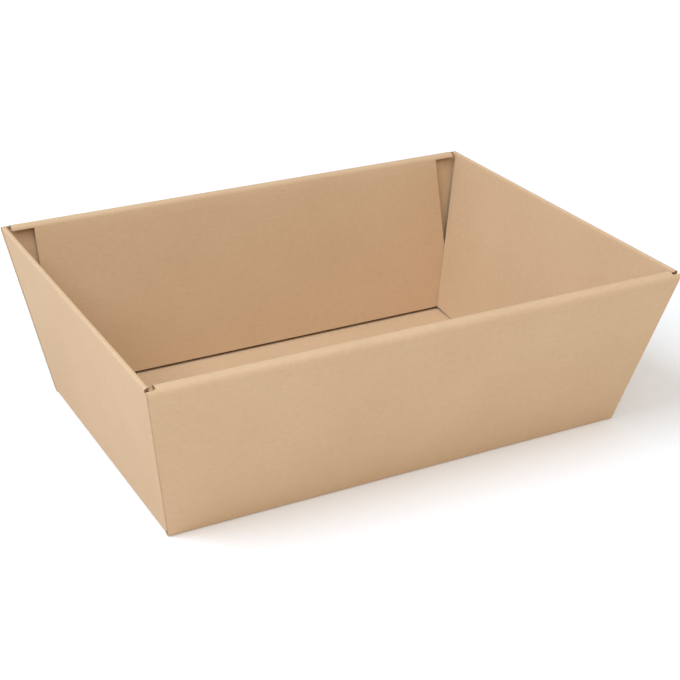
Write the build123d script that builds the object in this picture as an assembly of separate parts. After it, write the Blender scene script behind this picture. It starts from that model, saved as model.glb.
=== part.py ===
from build123d import *
import os
from math import atan, cos, pi, tan

# One sheet of fine corrugated board, die-cut and folded into an open tray.
# X runs along the tray, Y across it, Z up. The origin is the middle of the underside.
# The long walls roll over into a wide rim and an inner panel that stops above the base.
# The end walls roll over tightly into an inner panel that leans in to the base.
# Each end wall carries two corner flaps, tucked between the layers of the long walls.

# Sheet
board = 1.4                 # thickness of the board
crease_inner = 0.6          # inside radius of the creases round the base
soft_inner = 2.3            # inside radius of the soft roll along the long walls' rims
tight_inner = 0.08          # inside radius of the creases along the end walls' rims
corner_inner = 1.0          # inside radius of the crease at the root of a corner flap
layer_gap = 0.3             # space between two layers that lie against each other

# Tray, measured on its outer skins
base_length = 302.0
base_width = 200.0
top_length = 340.0
top_width = 262.0
height = 109.0

# Long walls
long_rim = 8.0              # width of the rolled rim, level across the top
long_foot_inset = 6.0       # from the outer skin's foot to the inner panel's face, at the floor
long_inner_length = 299.4   # length of the inner panel, which is cut square
long_rim_end_gap = 2.8      # from the end of the rim strip to the end wall's rim
long_foot_gap = 1.8         # height of the inner panel's cut edge above the base

# End walls
end_rim_gap = 0.158         # what the rolled rim's width adds to two thicknesses of board
end_foot_inset = 14.0       # from the outer skin's foot to the inner panel's face, at the floor
end_foot_gap = 0.5          # height of the inner panel's cut edge above the base
foot_relief_length = 20.0   # the ends of that cut edge rise over this length
foot_relief_rise = 1.6      # and by this much

# Corner flaps
flap_length = 62.0          # from the end wall's skin at the base to the flap's cut end
flap_bottom_gap = 1.0       # space between the flap's lower edge and the base
flap_top_gap = 1.2          # space between the flap's upper edge and the long wall's rim

# Slopes of the walls, from upright
long_flare = atan((top_width - base_width) / 2 / height)
end_flare = atan((top_length - base_length) / 2 / height)
end_rim = 2 * board / cos(end_flare) + end_rim_gap    # width of the rolled rim, level across the top
long_inner_top = top_width / 2 - long_rim
long_inner_foot = base_width / 2 - long_foot_inset
long_inner_flare = atan((long_inner_top - long_inner_foot) / height)
end_inner_top = top_length / 2 - end_rim
end_inner_foot = base_length / 2 - end_foot_inset
end_inner_flare = atan((end_inner_top - end_inner_foot) / height)

rim_underside = height - board
long_panel_top = rim_underside - soft_inner    # where the inner panels' cut ends begin
end_panel_top = rim_underside - tight_inner
corner_outer = corner_inner + board
flap_depth = board + layer_gap              # of a flap's skin behind the long wall's skin
crease_start = flap_depth + corner_outer    # of the end wall's flat part behind the same skin
past = 2 * height                           # how far a cutting solid runs past the tray

across = Plane((0, 0, 0), x_dir=(0, 1, 0), z_dir=(1, 0, 0))    # drawn in Y and Z, pulled along X
along = Plane((0, 0, 0), x_dir=(1, 0, 0), z_dir=(0, -1, 0))    # drawn in X and Z, pulled along Y


def long_skin(z, depth=0.0):
    """Half-width at height z of the plane this deep behind a long wall's outer skin."""
    return base_width / 2 + z * tan(long_flare) - depth / cos(long_flare)


def end_skin(z, depth=0.0):
    """Half-length at height z of the plane this deep behind an end wall's outer skin."""
    return base_length / 2 + z * tan(end_flare) - depth / cos(end_flare)


def long_inner_skin(z, depth=0.0):
    """Half-width at height z, this deep behind the face of a long wall's inner panel."""
    return long_inner_foot + z * tan(long_inner_flare) + depth / cos(long_inner_flare)


def end_inner_skin(z, depth=0.0):
    """Half-length at height z, this deep behind the face of an end wall's inner panel."""
    return end_inner_foot + z * tan(end_inner_flare) + depth / cos(end_inner_flare)


def outline(corners):
    """A closed face from corners that each give two places and a radius."""
    places = [(u, v) for u, v, radius in corners]
    radii = [radius for u, v, radius in corners]
    return make_face(FilletPolyline(*places, radius=radii, close=True))


def roll_radius(skin, flare, inner_skin, inner_flare, wanted):
    """The inside radius of a rim's two corners, limited by the space between its layers."""
    space = skin(rim_underside, board) - inner_skin(rim_underside, board)
    reach_of_both = tan(pi / 4 + flare / 2) + tan(pi / 4 - inner_flare / 2)
    return min(wanted, 0.98 * space / reach_of_both)


def folded_strip(plane, skin, inner_skin, foot, rim_inner, half_span):
    """Base, two outer panels, two rims and two inner panels, bent from one width of board."""
    outer = [
        (inner_skin(foot), foot, 0),
        (inner_skin(height), height, rim_inner + board),
        (skin(height), height, rim_inner + board),
        (skin(0), 0, crease_inner + board),
    ]
    inner = [
        (skin(board, board), board, crease_inner),
        (skin(rim_underside, board), rim_underside, rim_inner),
        (inner_skin(rim_underside, board), rim_underside, rim_inner),
        (inner_skin(foot, board), foot, 0),
    ]
    other_outer = [(-u, v, radius) for u, v, radius in reversed(outer)]
    other_inner = [(-u, v, radius) for u, v, radius in reversed(inner)]
    section = outline(outer + other_outer + other_inner + inner)
    return extrude(plane * section, half_span, both=True)


def prism(plane, corners, start, end):
    """An outline drawn in a plane and pulled from one distance to another along its normal."""
    return extrude(plane.offset(start) * outline(corners), end - start)


def zone(skin, depth, low, high, far):
    """Corners of the area from a slanted skin out to a far distance, between two heights."""
    return [(skin(low, depth), low, 0), (far, low, 0), (far, high, 0), (skin(high, depth), high, 0)]


def four_corners(solid):
    """The solid at one corner of the tray and its images at the other three."""
    pair = solid + mirror(solid, Plane.XZ)
    return pair + mirror(pair, Plane.YZ)


def long_strip():
    """The base and the long walls."""
    foot = board + long_foot_gap
    roll = roll_radius(long_skin, long_flare, long_inner_skin, long_inner_flare, soft_inner)
    strip = folded_strip(across, long_skin, long_inner_skin, foot, roll, top_length / 2)
    # The outer panels end on the end walls' skins.
    outside = zone(end_skin, 0, -board, height + board, top_length)
    ends = prism(along, outside, -past, past)
    # Between the corners, the base ends before the creases of the end walls.
    base_zone = zone(long_skin, crease_start, -board, 2 * board, 0)
    base_ends = prism(across, base_zone, end_skin(0) - 2 * board, past)
    # The rim strips stop short of the end walls' rims, and the inner panels are cut square.
    low = board + long_foot_gap / 2
    rim_zone = zone(long_skin, board, low, height + board, 0)
    panel_zone = zone(long_skin, board, low, long_panel_top, 0)
    inner_ends = prism(across, rim_zone, end_inner_top - long_rim_end_gap, past)
    inner_ends += prism(across, panel_zone, long_inner_length / 2, past)
    strip -= ends + mirror(ends, Plane.YZ)
    return strip - four_corners(base_ends) - four_corners(inner_ends)


def end_strip():
    """The base and the end walls, as wide as the space between the corner creases."""
    foot = board + end_foot_gap
    roll = roll_radius(end_skin, end_flare, end_inner_skin, end_inner_flare, tight_inner)
    strip = folded_strip(along, end_skin, end_inner_skin, foot, roll, top_width / 2)
    crease_zone = zone(long_skin, crease_start, -board, height + board, top_width)
    sides = prism(across, crease_zone, -past, past)
    # The inner panels are narrower: they lie between the long walls' inner panels.
    low = board + end_foot_gap / 2
    panel_zone = zone(end_skin, board, low, end_panel_top, 0)
    beside = zone(long_inner_skin, -layer_gap, low, end_panel_top, top_width)
    inner_ends = prism(along, panel_zone, -past, past) & prism(across, beside, 0, past)
    # The ends of their lower edges rise a little towards the corners.
    corner = long_inner_skin(foot, -layer_gap)
    rise = foot + foot_relief_rise
    wedge = [
        (corner - foot_relief_length, foot, 0),
        (corner - foot_relief_length, low, 0),
        (corner + board, low, 0),
        (corner + board, rise, 0),
        (corner, rise, 0),
    ]
    under_panel = zone(end_skin, 2 * board, low, rise, 0)
    relief = prism(across, wedge, 0, past) & prism(along, under_panel, -past, past)
    return strip - (sides + mirror(sides, Plane.XZ)) - four_corners(inner_ends) - four_corners(relief)


def frustum(long_depth, end_depth, corner_radius):
    """The space between the walls, this deep behind their skins, with rounded corners."""
    bottom = Rectangle(2 * end_skin(0, end_depth), 2 * long_skin(0, long_depth))
    top = Rectangle(2 * end_skin(height, end_depth), 2 * long_skin(height, long_depth))
    space = loft([bottom, Pos(0, 0, height) * top], ruled=True)
    upright = [edge for edge in space.edges() if edge.bounding_box().size.Z > height / 2]
    return fillet(upright, corner_radius)


def corner_flaps():
    """The creases at the ends of the end walls, with the flaps that lie inside the long walls."""
    ring = frustum(flap_depth, 0, corner_outer) - frustum(flap_depth + board, board, corner_inner)
    low = board + flap_bottom_gap
    crease_zone = zone(long_skin, crease_start, low, rim_underside - flap_top_gap, top_width)
    kept = prism(across, crease_zone, base_length / 2 - flap_length, past)
    return ring & four_corners(kept)


tray = long_strip() + end_strip() + corner_flaps()

os.makedirs("parts", exist_ok=True)
export_step(tray, "parts/folded_tray.step")
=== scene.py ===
# %% [markdown]
# # A folded cardboard tray
# The real object is one sheet of fine corrugated board. A die cuts its outline and presses
# its crease lines, and a person folds it by hand, with no glue. This lesson makes it in the
# same order: a flat sheet is divided along its creases, its waste is cut away, and each
# row of the sheet is carried to its folded place. Then the sheet gets its thickness.

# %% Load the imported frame
import math

import bmesh
import bpy
from mathutils import Matrix, Vector, noise


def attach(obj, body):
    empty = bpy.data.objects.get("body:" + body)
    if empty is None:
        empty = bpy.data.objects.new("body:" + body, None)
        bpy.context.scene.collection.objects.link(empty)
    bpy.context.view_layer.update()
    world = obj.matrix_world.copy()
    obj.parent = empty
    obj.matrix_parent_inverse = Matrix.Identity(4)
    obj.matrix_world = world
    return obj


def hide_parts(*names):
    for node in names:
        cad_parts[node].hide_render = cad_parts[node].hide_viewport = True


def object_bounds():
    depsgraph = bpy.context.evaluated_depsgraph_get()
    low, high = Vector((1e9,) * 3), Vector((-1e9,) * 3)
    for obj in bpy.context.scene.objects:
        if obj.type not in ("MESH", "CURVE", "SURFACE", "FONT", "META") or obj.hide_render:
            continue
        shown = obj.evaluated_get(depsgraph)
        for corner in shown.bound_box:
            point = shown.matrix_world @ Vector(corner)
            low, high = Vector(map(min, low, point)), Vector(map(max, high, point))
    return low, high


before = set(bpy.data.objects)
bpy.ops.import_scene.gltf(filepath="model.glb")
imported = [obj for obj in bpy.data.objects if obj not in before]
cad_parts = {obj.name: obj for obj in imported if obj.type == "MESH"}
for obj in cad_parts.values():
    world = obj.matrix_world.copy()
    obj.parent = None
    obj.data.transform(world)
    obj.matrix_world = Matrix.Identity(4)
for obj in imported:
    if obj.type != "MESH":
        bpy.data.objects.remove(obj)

cad_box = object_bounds()
print("CAD box, mm:", [[round(1000 * side, 1) for side in corner] for corner in cad_box])

# %% [markdown]
# ## The tray's measures
# A folded sheet is easiest to describe by its skins: the slanted planes that the walls lie
# in. Each plane is a width at the floor and a width at the rim. A depth behind the skin then
# gives any layer inside the wall, such as the middle of the board.

# %% Sizes in metres
mm = 0.001
board = 1.4 * mm
half = board / 2
height = cad_box[1].z

base_length, base_width = 302 * mm, 200 * mm
top_length, top_width = 340 * mm, 262 * mm
long_rim, long_foot_inset, long_foot_gap = 8 * mm, 6 * mm, 1.8 * mm
end_rim, end_foot_inset, end_foot_gap = 3 * mm, 14 * mm, 0.5 * mm
layer_gap = 0.3 * mm
rim_end = top_length / 2 - end_rim - 2.8 * mm
panel_end = 149.7 * mm
flap_end = base_length / 2 - 62 * mm
flap_low, flap_high = board + 1 * mm, height - board - 1.2 * mm

crease_radius = 0.6 * mm + half
soft_radius = 2.3 * mm + half
tight_radius = 0.08 * mm + half
corner_radius = 1 * mm + half


def skin(at_floor, at_rim):
    """A slanted plane: its distance from the middle at a height, and at a depth behind it."""
    slope = (at_rim - at_floor) / height
    slant = math.hypot(1, slope)
    return lambda z, depth=0.0: at_floor + slope * z - depth * slant


long_skin = skin(base_width / 2, top_width / 2)
end_skin = skin(base_length / 2, top_length / 2)
long_face = skin(base_width / 2 - long_foot_inset, top_width / 2 - long_rim)
end_face = skin(base_length / 2 - end_foot_inset, top_length / 2 - end_rim)
print("long wall leans", round(math.degrees(math.atan2(top_width - base_width, 2 * height)), 1))
print("end wall leans", round(math.degrees(math.atan2(top_length - base_length, 2 * height)), 1))

# %% [markdown]
# ## A section through a wall
# Cut across, a wall is a line that runs from the base over a rounded crease, up the outer
# panel, over the rim and down the inner panel. The helper walks along such a line, turns
# each corner into an arc, and divides the straight runs. It also measures the length walked,
# because that is where each row lies on the flat sheet, and counts the legs, so that a whole
# number is a straight panel and a fraction is a crease between two panels.

# %% Walk along a section
arc_steps = 7
spacing = 7 * mm


def rounded_path(corners, radii, stops=()):
    """Rows (distance out, height, length walked, leg) along a line with rounded corners.

    Each stop is a leg and a height on it where a row is needed.
    """
    spots = [Vector(corner) for corner in corners]
    path = [(spots[0], 0.0)]
    for leg, radius in enumerate(radii):
        before, corner, after = spots[leg : leg + 3]
        back, on = (before - corner).normalized(), (after - corner).normalized()
        half_angle = back.angle(on) / 2
        reach = radius / math.tan(half_angle)
        centre = corner + (back + on).normalized() * radius / math.sin(half_angle)
        start, end = corner + back * reach - centre, corner + on * reach - centre
        for step in range(arc_steps + 1):
            share = step / arc_steps
            spoke = start.slerp(end, share) * radius
            path.append((centre + spoke, leg + share))
    path.append((spots[-1], float(len(radii))))
    rows, walked = [(*path[0][0], 0.0, 0.0)], 0.0
    for leg, stop in stops:
        first = max(n for n in range(len(path) - 1) if path[n][1] == leg == path[n + 1][1])
        here, there = path[first][0], path[first + 1][0]
        path.insert(first + 1, (here.lerp(there, (stop - here.y) / (there.y - here.y)), leg))
    for (here, leg_here), (there, leg_there) in zip(path, path[1:]):
        run = (there - here).length
        parts = max(1, round(run / spacing))
        for part in range(1, parts + 1):
            walked += run / parts
            rows.append((*here.lerp(there, part / parts), walked, leg_there))
    return rows


# %% [markdown]
# ## The long walls and the base
# One width of board makes the base and both long walls. The base's rows stand where the end
# walls' columns will meet them, so the two can be joined later. Every column is a slanted
# line: it has one place at the floor and another at the rim, which is what flares the wall.

# %% Rows and columns of the long strip
top = height - half
flap_depth = board + layer_gap
crease_depth = flap_depth + 1 * mm + board
base_edge = long_skin(half, crease_depth)
across_parts = 28
half_parts = across_parts // 2
stations = [base_edge * part / half_parts for part in range(half_parts)]

long_foot = board + long_foot_gap
walk = rounded_path(
    [
        (base_edge, half),
        (long_skin(half, half), half),
        (long_skin(top, half), top),
        (long_face(top, -half), top),
        (long_face(long_foot, -half), long_foot),
    ],
    [crease_radius, soft_radius, soft_radius],
)
half_rows = [(y, half, y, -1.0) for y in stations]
half_rows += [(y, z, base_edge + walked, leg) for y, z, walked, leg in walk]
long_rows = [(-y, z, -v, leg) for y, z, v, leg in reversed(half_rows[1:])] + half_rows

end_turn = (math.pi / 2 + math.atan2(top_length - base_length, 2 * height)) / 2
base_end = end_skin(half, half) - crease_radius / math.tan(end_turn)
inner_columns = 18
steady = 135 * mm
right = [(steady * n / inner_columns,) * 2 for n in range(inner_columns + 1)]
last = len(right)
right.append((base_end, panel_end))
right.append(((base_end + end_skin(0)) / 2, rim_end))
right.append((end_skin(half), end_skin(height)))
long_columns = [(-a, -b) for a, b in reversed(right[1:])] + right
middle_column = len(right) - 1
print(len(long_rows), "rows by", len(long_columns), "columns")

# %% [markdown]
# ## Fold a flat sheet
# A grid is the uncut sheet. Two small functions say where each grid point goes and which
# faces are waste. The place on the flat sheet is kept on every point as its UV map, so that
# the paper's fibres and flutes follow the board round each crease, as they do on a real one.

# %% The helper that folds a grid
sheet = bmesh.new()
flat_layer = sheet.verts.layers.float_vector.new("flat")
fold_layer = sheet.verts.layers.float.new("fold")


def fold_sheet(rows, columns, place, is_waste):
    """Adds a flat grid to the sheet, carries its points to their places and cuts its waste."""
    made = bmesh.ops.create_grid(sheet, x_segments=columns - 1, y_segments=rows - 1, size=1)
    spots = {}
    for vert in made["verts"]:
        row = round((vert.co.y + 1) / 2 * (rows - 1))
        column = round((vert.co.x + 1) / 2 * (columns - 1))
        spots[vert] = (row, column)
    waste = []
    for face in dict.fromkeys(face for vert in made["verts"] for face in vert.link_faces):
        row = sum(spots[vert][0] for vert in face.verts) / 4
        column = sum(spots[vert][1] for vert in face.verts) / 4
        if is_waste(row, column):
            waste.append(face)
    for vert, (row, column) in spots.items():
        vert.co, vert[flat_layer], vert[fold_layer] = place(row, column)
    bmesh.ops.delete(sheet, geom=waste, context="FACES")
    print("faces kept so far:", len(sheet.faces))


# %% [markdown]
# ## Paper is never flat
# A crease pulls on the panel beside it, so each panel bellies by less than a millimetre.
# The belly is nothing at the panel's edges and always points away from the layers beneath,
# so no two layers meet. A little smooth noise makes the four walls differ.

# %% The belly of a panel
def belly(along, up, depth, seed):
    """How far a panel swells, from its place across (-1 to 1) and up (0 to 1)."""
    swell = (1 - along**4) * math.sin(math.pi * min(max(up, 0.0), 1.0))
    uneven = 0.75 + 0.5 * noise.noise(Vector((2.2 * along, 1.6 * up, seed)))
    return depth * swell * uneven


outer_belly, inner_belly = 0.7 * mm, 1.1 * mm

# %% Fold the long strip
rim_leg, inner_leg = 1.5, 3.0


def place_long(row, column):
    """Where a point of the long strip lies, its place on the flat sheet and its crease."""
    y, z, v, leg = long_rows[row]
    at_floor, at_rim = long_columns[column]
    x = at_floor + (at_rim - at_floor) * (z - half) / (height - half)
    if leg > rim_leg and abs(column - middle_column) < last + 2:
        x = at_rim
    side = math.copysign(1, y)
    push = 0.0
    if leg == 1.0:
        push = belly(x / end_skin(z), z / height, outer_belly, side)
    if leg == inner_leg:
        push = -belly(x / panel_end, z / height, inner_belly, 5 + side)
    fold = 1.0 if leg % 1 or z > top - mm else 0.0
    return Vector((x, y + side * push, z)), Vector((x, v, 0)), fold


def long_waste(row, column):
    """True for what the die cuts from the long strip's ends."""
    near, far = long_rows[math.floor(row)], long_rows[math.ceil(row)]
    leg = (near[3] + far[3]) / 2
    out = abs(column - middle_column)
    if leg < -0.4:
        return out > last
    if leg >= inner_leg:
        return out > last
    return leg > rim_leg and out > last + 1


fold_sheet(len(long_rows), len(long_columns), place_long, long_waste)

# %% [markdown]
# ## The end walls and the corner flaps
# Each end wall is folded the same way. Its rim is pinched almost flat, and its inner panel
# leans in and ends short of the corners. Past its sides the sheet turns round the corner
# into two flaps, which slide between the layers of the long walls and hold the tray shut.

# %% Rows and columns of an end wall
end_foot = board + end_foot_gap
shoulder = top - tight_radius - 1.2 * mm
end_walk = rounded_path(
    [
        (base_end - spacing, half),
        (end_skin(half, half), half),
        (end_skin(top, half), top),
        (end_face(top, -half), top),
        (end_face(end_foot, -half), end_foot),
    ],
    [crease_radius, tight_radius, tight_radius],
    stops=[(1.0, flap_low), (1.0, flap_high), (inner_leg, shoulder)],
)
end_rows = end_walk[1:]
near_enough = 0.1 * mm
flap_rows = [
    n
    for n, (out, z, walked, leg) in enumerate(end_rows)
    if leg == 1.0 and flap_low - near_enough < z < flap_high + near_enough
]
panel_columns = [base_edge * part / half_parts for part in range(-half_parts, half_parts + 1)]
corner_steps, flap_steps = 6, 8
flap_columns = corner_steps + flap_steps
end_columns = len(panel_columns) + 2 * flap_columns
print(len(end_rows), "rows by", end_columns, "columns")
print("flaps on rows", flap_rows[0], "to", flap_rows[-1])

# %% Fold the two ends
relief_length, relief_rise, relief_blend = 20 * mm, 1.6 * mm, 15 * mm


def end_place(side):
    """The placing function for one end: side is -1 at the left and 1 at the right."""

    def place(row, column):
        out, z, walked, leg = end_rows[row]
        turn = max(0, flap_columns - column, column - (end_columns - 1 - flap_columns))
        hand = -1 if column < end_columns / 2 else 1
        inside = min(max(column - flap_columns, 0), len(panel_columns) - 1)
        share = panel_columns[inside] / base_edge
        edge = long_skin(z, crease_depth)
        if leg == inner_leg and z < shoulder + near_enough:
            edge = long_face(z, layer_gap)
            rise = relief_rise * max(0.0, 1 - (1 - abs(share)) * edge / relief_length)
            z += rise * max(0.0, 1 - (z - end_foot) / relief_blend)
            out = end_face(z, -half)
        y, fold = share * edge, 1.0 if leg % 1 else 0.0
        if leg == 1.0 and not turn:
            out += belly(share, z / height, outer_belly, 10 + side)
        if leg == inner_leg and not turn:
            out -= belly(share, z / height, inner_belly, 15 + side)
        flat_out, flat_y = base_end + walked - spacing, y
        if turn:
            angle = min(turn / corner_steps, 1.0) * math.pi / 2
            reach_x = corner_radius * math.hypot(1, (top_length - base_length) / 2 / height)
            reach_y = long_skin(z, flap_depth + half) - edge
            corner_x = out - reach_x
            out = corner_x + reach_x * math.cos(angle)
            y = hand * (edge + reach_y * math.sin(angle))
            run = max(0, turn - corner_steps) / flap_steps * (corner_x - flap_end)
            out -= run
            flat_y = hand * (edge + corner_radius * angle + run)
            fold = 1.0 if turn < corner_steps else 0.0
        return Vector((side * out, y, z)), Vector((side * flat_out, flat_y, 0)), fold

    return place


def end_waste(row, column):
    """True for what the die cuts away above and below the corner flaps."""
    outside = column < flap_columns or column > end_columns - 1 - flap_columns
    return outside and not flap_rows[0] < row < flap_rows[-1]


for side in (-1, 1):
    fold_sheet(len(end_rows), end_columns, end_place(side), end_waste)

# %% [markdown]
# ## Join the blank and mark its cut edges
# The ends share their first row of points with the base, so joining the points that lie on
# one another makes the sheet whole again. The faces' normals are worked out only after that.

# %% Join and check the sheet
before = len(sheet.verts)
bmesh.ops.remove_doubles(sheet, verts=sheet.verts, dist=0.02 * mm)
bmesh.ops.recalc_face_normals(sheet, faces=sheet.faces)
loose = [vert for vert in sheet.verts if not vert.link_faces]
bmesh.ops.delete(sheet, geom=loose, context="VERTS")
base_face = min(sheet.faces, key=lambda face: face.calc_center_median().length)
if base_face.normal.z < 0:
    bmesh.ops.reverse_faces(sheet, faces=sheet.faces)
print("points joined:", before - len(sheet.verts), "faces:", len(sheet.faces))

# %% [markdown]
# ## The fluted core
# Corrugated board is two flat liners with a wavy sheet between them. The wave shows only at
# cut edges, so only a narrow ribbon of it is made there, just inside each edge. Its phase is
# read from the place on the flat sheet, so where a cut runs along the flutes the ribbon is
# straight, and where a cut crosses them it waves, as in real board.

# %% Ribbons along the cut edges
flute_pitch, liner = 3.2 * mm, 0.22 * mm
flute_height = half - liner - 0.12 * mm
slot_depth = 1.1 * mm
ribbon_reach = (0.15 * mm, slot_depth + 0.1 * mm)
steps_per_flute = 8
ribbons = bmesh.new()
ribbon_uv = ribbons.verts.layers.float_vector.new("flat")
ribbons.verts.layers.float.new("fold")
for edge in [edge for edge in sheet.edges if edge.is_boundary]:
    face = edge.link_faces[0]
    near, far = edge.verts
    way = (far.co - near.co).normalized()
    inward = face.normal.cross(way)
    if inward.dot(face.calc_center_median() - near.co) < 0:
        inward.negate()
    crossing = abs(far[flat_layer].y - near[flat_layer].y)
    steps = max(1, round(crossing / (flute_pitch / steps_per_flute)))
    rails = []
    for step in range(steps + 1):
        share = step / steps
        flat = near[flat_layer].lerp(far[flat_layer], share)
        wave = flute_height * math.sin(math.tau * flat.y / flute_pitch)
        spot = near.co.lerp(far.co, share) + face.normal * wave
        rail = [ribbons.verts.new(spot + inward * depth) for depth in ribbon_reach]
        for vert in rail:
            vert[ribbon_uv] = flat
        rails.append(rail)
    for (a, b), (c, d) in zip(rails, rails[1:]):
        ribbons.faces.new((a, b, d, c))
bmesh.ops.remove_doubles(ribbons, verts=ribbons.verts, dist=0.02 * mm)
bmesh.ops.recalc_face_normals(ribbons, faces=ribbons.faces)
print("faces in the ribbons:", len(ribbons.faces))

# %% [markdown]
# ## Give the sheet its thickness
# A Solidify modifier grows half the board on each side of the folded sheet, so the creases
# keep their true inner and outer radii. The faces that it makes round the outline are the
# cut edges. They get a material slot of their own, and are then pressed in between the two
# liners to leave the narrow slot in which the flutes show.

# %% From sheet to board
def to_object(mesh_data, name):
    """A new object from a bmesh, with the flat sheet's places turned into its UV map."""
    places = mesh_data.verts.layers.float_vector["flat"]
    uv = mesh_data.loops.layers.uv.new("sheet")
    for face in mesh_data.faces:
        for loop in face.loops:
            loop[uv].uv = loop.vert[places].xy
    mesh = bpy.data.meshes.new(name)
    mesh_data.to_mesh(mesh)
    mesh_data.free()
    made = bpy.data.objects.new(name, mesh)
    bpy.context.scene.collection.objects.link(made)
    return made


def thicken(target, thickness, rim_material, even):
    """Grows a sheet evenly on both sides and keeps the result."""
    target.data.materials.append(None)
    target.data.materials.append(None)
    grow = target.modifiers.new("board", "SOLIDIFY")
    grow.thickness = thickness
    grow.offset = 0
    grow.use_even_offset = even
    grow.use_rim = True
    grow.material_offset_rim = rim_material
    shape = bmesh.new()
    shape.from_object(target, bpy.context.evaluated_depsgraph_get())
    target.modifiers.clear()
    return shape


tray = to_object(sheet, "folded_board")
flutes = to_object(ribbons, "flutes")
solid = thicken(tray, board, 1, even=True)
cut_edges = [face for face in solid.faces if face.material_index == 1]
bmesh.ops.inset_region(
    solid, faces=cut_edges, thickness=liner, depth=-slot_depth, use_even_offset=False, use_boundary=True
)
core = thicken(flutes, 0.2 * mm, 0, even=False)
for face in core.faces:
    face.material_index = 1
core_mesh = bpy.data.meshes.new("core")
core.to_mesh(core_mesh)
core.free()
solid.from_mesh(core_mesh)
for face in solid.faces:
    face.smooth = face.material_index == 0
for edge in solid.edges:
    edge.smooth = all(face.smooth for face in edge.link_faces)
solid.to_mesh(tray.data)
triangles = sum(len(face.verts) - 2 for face in solid.faces)
solid.free()
bpy.data.objects.remove(flutes)
print("triangles in the board:", triangles)

# %% [markdown]
# ## Arithmetic for materials
# A material is easier to read as a formula than as a web of nodes. This small class wraps a
# node's output, so that plus, minus, times and divide each add a Math node.

# %% The class that carries a value through a material
class Flow:
    """A value on its way through a material."""

    def __init__(self, tree, socket):
        self.tree, self.socket = tree, socket

    def node(self, kind, settings=None, **values):
        """Adds any node: its type, then its settings, then its sockets by name or number."""
        made = self.tree.nodes.new(kind)
        for name, value in (settings or {}).items():
            setattr(made, name, value)
        for name, value in values.items():
            socket = made.inputs[int(name[1:]) if name[0] == "_" else name.replace("_", " ")]
            if isinstance(value, Flow):
                self.tree.links.new(value.socket, socket)
            else:
                socket.default_value = value
        return made

    def maths(self, operation, a, b=0.0, clamp=False):
        made = self.node("ShaderNodeMath", {"operation": operation, "use_clamp": clamp}, _0=a, _1=b)
        return Flow(self.tree, made.outputs[0])

    def __add__(self, other):
        return self.maths("ADD", self, other)

    def __sub__(self, other):
        return self.maths("SUBTRACT", self, other)

    def __rsub__(self, other):
        return self.maths("SUBTRACT", other, self)

    def __mul__(self, other):
        return self.maths("MULTIPLY", self, other)

    def __truediv__(self, other):
        return self.maths("DIVIDE", self, other)

    __radd__, __rmul__ = __add__, __mul__

    def sine(self):
        return self.maths("SINE", self)

    def limited(self):
        return self.maths("ADD", self, 0.0, clamp=True)

    def stretched(self, x, y, z=1.0):
        """A vector with its three parts multiplied."""
        made = self.node("ShaderNodeVectorMath", {"operation": "MULTIPLY"}, _0=self, _1=(x, y, z))
        return Flow(self.tree, made.outputs[0])

    def noise(self, scale, detail=3.0, roughness=0.55):
        """Noise about zero, read at this place."""
        made = self.node(
            "ShaderNodeTexNoise", Vector=self, Scale=scale, Detail=detail, Roughness=roughness
        )
        return Flow(self.tree, made.outputs[0]) - 0.5

    def mixed(self, first, second):
        """The first colour where this is 0 and the second where it is 1."""
        made = self.node("ShaderNodeMix", {"data_type": "RGBA"}, _0=self, _6=first, _7=second)
        return Flow(self.tree, made.outputs[2])


# %% [markdown]
# ## Kraft paper
# Kraft board is brown wood pulp. Its colour comes from many small things: soft clouds where
# the pulp is thicker, a fine mottle, short fibres, faint lines where the flutes show through
# the liner, and paler paper where a crease has been stretched. All are read from the flat
# sheet's own coordinates, in metres, so they run on across the folds.

# %% The kraft liner and its cut edges
def paper(name, tint, cut):
    """Brown board, either its smooth liner or a cut edge's raw fibres; a cut edge's dark tint is partly
    painted shade.
    """
    material = bpy.data.materials.new(name)
    material.use_nodes = True
    tree = material.node_tree
    surface = tree.nodes["Principled BSDF"]
    sheet_uv = Flow(tree, None).node("ShaderNodeUVMap", {"uv_map": "sheet"})
    where = Flow(tree, sheet_uv.outputs["UV"])
    parts = where.node("ShaderNodeSeparateXYZ", Vector=where)
    across_flutes = Flow(tree, parts.outputs["Y"])
    crease_read = where.node("ShaderNodeAttribute", {"attribute_name": "fold"})
    crease = Flow(tree, crease_read.outputs["Fac"])

    clouds = where.noise(14.0, 4.0)
    mottle = where.noise(260.0, 4.0, 0.65)
    fibres = where.stretched(1.0, 5.0).noise(420.0, 3.0, 0.7)
    long_fibres = where.stretched(1.0, 9.0).noise(95.0, 4.0, 0.7)
    flute_lines = (across_flutes * (math.tau / flute_pitch) + where.noise(30.0) * 1.5).sine()
    tone = 0.5 + clouds * 0.55 + mottle * 0.5 + fibres * 0.55
    tone = tone + long_fibres * 0.3 + flute_lines * 0.02
    worn = crease * (0.55 + where.noise(120.0) * 1.2).limited()

    dark = (tint[0] * 0.86, tint[1] * 0.82, tint[2] * 0.76, 1)
    pale = (tint[0] * 1.11, tint[1] * 1.15, tint[2] * 1.2, 1)
    base = tone.limited().mixed(dark, pale)
    colour = (worn * 0.22).mixed(base, (tint[0] * 1.12, tint[1] * 1.18, tint[2] * 1.28, 1))
    roughness = 0.8 + mottle * 0.12 + fibres * 0.1 + worn * 0.08
    relief = mottle * 0.4 + fibres * (1.6 if cut else 0.6) + long_fibres * 0.2 + flute_lines * 0.06
    bump = where.node("ShaderNodeBump", Strength=0.5 if cut else 0.35, Distance=0.12 * mm, Height=relief)
    tree.links.new(colour.socket, surface.inputs["Base Color"])
    tree.links.new(roughness.socket, surface.inputs["Roughness"])
    tree.links.new(bump.outputs["Normal"], surface.inputs["Normal"])
    surface.inputs["Specular IOR Level"].default_value = 0.35
    return material


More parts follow.
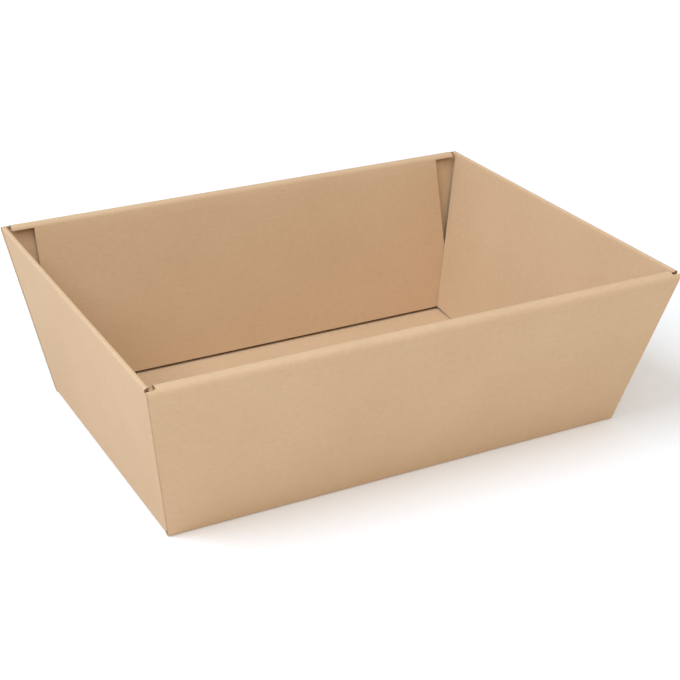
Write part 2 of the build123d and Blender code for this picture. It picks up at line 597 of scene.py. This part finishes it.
kraft = (0.59, 0.4, 0.238)
tray.data.materials.clear()
tray.data.materials.append(paper("kraft_liner", kraft, cut=False))
# The cut edges and the flutes get a tint far darker than the liner's. Part of that is the raw fibres, and
# part is painted shade for the hollow flutes and the gaps beside each edge.
tray.data.materials.append(paper("kraft_cut_edge_painted_shade", [part * 0.36 for part in kraft], cut=True))
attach(tray, "root")
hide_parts("folded_tray")
print("materials:", [material.name for material in tray.data.materials])

# %% [markdown]
# ## A plain studio
# The tray stands on a pale floor, which glows a little more with distance so that it meets
# a white background. A large, slightly cool lamp at the left and above gives the left wall
# the most light, a warmer one stands in front, and a pale sky fills the rest, so that the
# shadow on the floor stays soft.

# %% Floor, sky and lamps
floor_data = bmesh.new()
bmesh.ops.create_grid(floor_data, x_segments=1, y_segments=1, size=6)
floor_mesh = bpy.data.meshes.new("floor")
floor_data.to_mesh(floor_mesh)
floor_data.free()
floor = bpy.data.objects.new("floor", floor_mesh)
floor.location.z = -0.2 * mm
bpy.context.scene.collection.objects.link(floor)
floor_paint = bpy.data.materials.new("floor")
floor_paint.use_nodes = True
floor_surface = floor_paint.node_tree.nodes["Principled BSDF"]
floor_surface.inputs["Base Color"].default_value = (0.85, 0.85, 0.85, 1)
floor_surface.inputs["Roughness"].default_value = 0.9
floor_start = Flow(floor_paint.node_tree, None)
floor_place = Flow(floor_paint.node_tree, floor_start.node("ShaderNodeTexCoord").outputs["Object"])
floor_reach = floor_place.node("ShaderNodeVectorMath", {"operation": "LENGTH"}, _0=floor_place)
far_away = ((Flow(floor_paint.node_tree, floor_reach.outputs["Value"]) - 0.3) / 1.5).limited()
glow = far_away.mixed((0.1, 0.1, 0.1, 1), (0.56, 0.56, 0.56, 1))
floor_paint.node_tree.links.new(glow.socket, floor_surface.inputs["Emission Color"])
floor_surface.inputs["Emission Strength"].default_value = 1.0
floor_mesh.materials.append(floor_paint)

world = bpy.data.worlds.new("sky")
bpy.context.scene.world = world
world.use_nodes = True
sky = world.node_tree
sky.nodes.clear()
start = Flow(sky, None)
path_kind = start.node("ShaderNodeLightPath")
seen = Flow(sky, path_kind.outputs["Is Camera Ray"])
soft = Flow(sky, start.node("ShaderNodeBackground", Color=(1, 0.985, 0.965, 1), Strength=0.6).outputs[0])
white = Flow(sky, start.node("ShaderNodeBackground", Color=(1, 1, 1, 1), Strength=1.0).outputs[0])
either = start.node("ShaderNodeMixShader", _0=seen, _1=soft, _2=white)
start.node("ShaderNodeOutputWorld", Surface=Flow(sky, either.outputs[0]))


def lamp(name, place, aim, size, power, colour=(1, 1, 1)):
    """A square area lamp that looks at a point."""
    data = bpy.data.lights.new(name, "AREA")
    data.size = size
    data.energy = power
    data.color = colour
    made = bpy.data.objects.new(name, data)
    made.location = place
    made.rotation_euler = (Vector(place) - Vector(aim)).to_track_quat("Z", "Y").to_euler()
    bpy.context.scene.collection.objects.link(made)


lamp("key", (-1.25, -0.15, 1.8), (0.05, 0, 0.05), 1.1, 31, (0.86, 0.99, 1.17))
lamp("front", (-0.3, -1.6, 1.75), (0, 0, 0.05), 1.2, 13, (1, 0.97, 0.92))

# %% [markdown]
# ## The camera
# The camera's place is given as directions from the tray: how far round, how far up, and
# how far away. A slight roll matches a hand-levelled camera.

# %% Place the camera
round_about, up_angle, roll = math.radians(-27.69), math.radians(25.418), math.radians(0.27)
away = Vector((math.sin(round_about), -math.cos(round_about), math.tan(up_angle))).normalized()
aim = Vector((-2.11, -19.31, 54.5)) * mm
camera_data = bpy.data.cameras.new("camera")
camera_data.lens = 80.2
camera_data.sensor_width = 36
camera = bpy.data.objects.new("camera", camera_data)
camera.location = aim + away * 0.9431
camera.rotation_euler = (away.to_track_quat("Z", "Y").to_matrix() @ Matrix.Rotation(roll, 3, "Z")).to_euler()
bpy.context.scene.collection.objects.link(camera)
bpy.context.scene.camera = camera
bpy.context.scene.view_settings.view_transform = "Standard"
print("camera at, mm:", [round(1000 * part) for part in camera.location])
